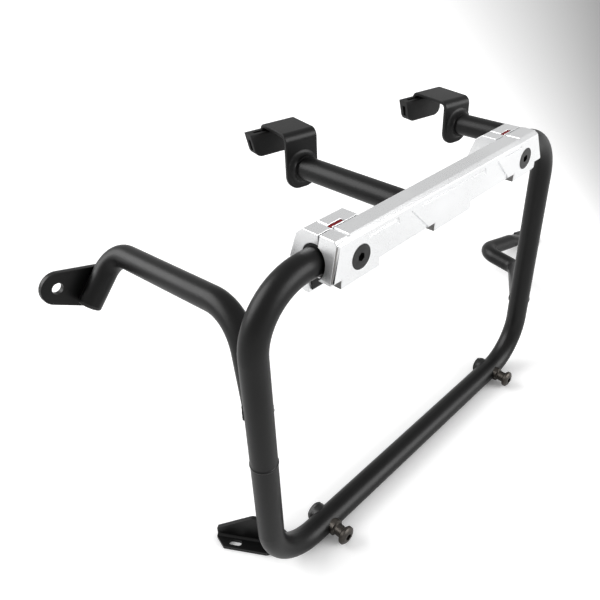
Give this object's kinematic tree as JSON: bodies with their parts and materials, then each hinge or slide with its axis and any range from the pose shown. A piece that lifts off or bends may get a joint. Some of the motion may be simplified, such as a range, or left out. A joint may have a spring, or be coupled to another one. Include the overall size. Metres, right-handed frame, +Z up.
{
  "type": "pannier frame",
  "caption": "Bent tube side carrier for a motorcycle pannier, with hooks, struts, lower pins and a clamped rail.",
  "frame": {"origin": "middle of the tail bolt hole, on the motorcycle's centre plane", "axes": "+X forward along the motorcycle, +Y from the loop inward to the motorcycle, +Z up"},
  "size_m": [0.61, 0.209, 0.2685],
  "materials": {
    "black_powder_coat": "fine-textured semi-matt black powder coat",
    "pin_steel": "dark bronze-black turned steel",
    "dark_fastener": "black oxide",
    "satin_aluminium": "satin silver, bead blasted",
    "black_rubber": "matt",
    "red_plastic": "matt",
    "black_plastic": "matt"
  },
  "bodies": {
    "root": {"loop_tube": "black_powder_coat", "rear_stub_tube": "black_powder_coat", "front_stub_tube": "black_powder_coat", "rear_hook_plate": "black_powder_coat", "front_hook_plate": "black_powder_coat", "rear_hook_weld": "black_powder_coat", "front_hook_weld": "black_powder_coat", "rear_strut_tube": "black_powder_coat", "tail_plate": "black_powder_coat", "tail_weld": "black_powder_coat", "front_strut_tube": "black_powder_coat", "lower_bracket": "black_powder_coat", "rear_pannier_pin": "pin_steel", "front_pannier_pin": "pin_steel", "rear_pin_washer": "dark_fastener", "front_pin_washer": "dark_fastener", "rear_pin_nut": "dark_fastener", "front_pin_nut": "dark_fastener", "rear_rail_screw": "dark_fastener", "front_rail_screw": "dark_fastener", "rear_clamp_washer": "dark_fastener", "front_clamp_washer": "dark_fastener", "rear_clamp_nut": "dark_fastener", "front_clamp_nut": "dark_fastener", "rail": "satin_aluminium", "rear_clamp": "satin_aluminium", "front_clamp": "satin_aluminium", "rear_hook_pad": "black_rubber", "front_hook_pad": "black_rubber", "rear_clamp_sleeve": "black_rubber", "front_clamp_sleeve": "black_rubber", "rear_red_insert": "red_plastic", "front_red_insert": "red_plastic", "rear_strut_cap": "black_plastic"}
  },
  "joints": []
}
